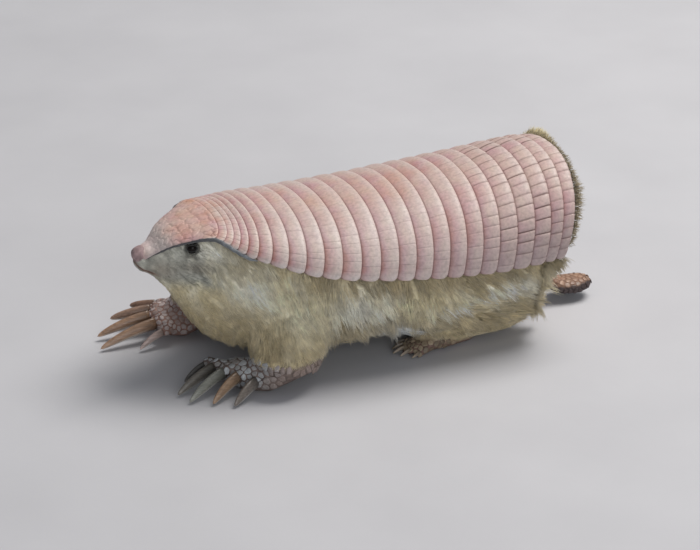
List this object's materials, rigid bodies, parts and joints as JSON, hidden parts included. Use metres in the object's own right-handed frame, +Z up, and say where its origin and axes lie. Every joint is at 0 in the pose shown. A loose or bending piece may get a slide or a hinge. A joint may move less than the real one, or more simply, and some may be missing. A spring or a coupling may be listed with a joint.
{
  "type": "pink fairy armadillo",
  "caption": "Life-size pink fairy armadillo standing with one forefoot ahead: banded dorsal shell, truncated rump plate, furry flanks, large digging claws and spade-tipped tail.",
  "frame": {"origin": "middle of the whole animal's bounding box, on the level it stands on", "axes": "+X from the snout towards the tail, +Y towards the animal's right side, +Z up"},
  "size_m": [0.1228, 0.0557, 0.0433],
  "materials": {
    "armour": "satin horny plates, pink with creamy rear edges",
    "fur": "soft silky hair, cream to khaki",
    "bare_skin": "bare scaly skin, brownish pink",
    "claw_horn": "horn, faintly glossy",
    "eye": "glossy black"
  },
  "bodies": {
    "root": {"band_01": "armour", "band_02": "armour", "band_03": "armour", "band_04": "armour", "band_05": "armour", "band_06": "armour", "band_07": "armour", "band_08": "armour", "band_09": "armour", "band_10": "armour", "band_11": "armour", "band_12": "armour", "band_13": "armour", "band_14": "armour", "band_15": "armour", "band_16": "armour", "band_17": "armour", "band_18": "armour", "band_19": "armour", "band_20": "armour", "band_21": "armour", "band_22": "armour", "band_23": "armour", "band_24": "armour", "claw_left_1": "claw_horn", "claw_left_2": "claw_horn", "claw_left_3": "claw_horn", "claw_left_4": "claw_horn", "claw_left_5": "claw_horn", "claw_right_1": "claw_horn", "claw_right_2": "claw_horn", "claw_right_3": "claw_horn", "claw_right_4": "claw_horn", "claw_right_5": "claw_horn", "eye_left": "eye", "eye_right": "eye", "forefoot_left": "bare_skin", "forefoot_right": "bare_skin", "foreleg_left": "fur", "foreleg_right": "fur", "head": "fur", "head_shield": "armour", "hindfoot_left": "bare_skin", "hindfoot_right": "bare_skin", "hindleg_left": "fur", "hindleg_right": "fur", "neck": "fur", "rim_fringe": "fur", "rump_shield": "armour", "snout": "bare_skin", "tail": "bare_skin", "trunk": "fur"}
  },
  "joints": []
}
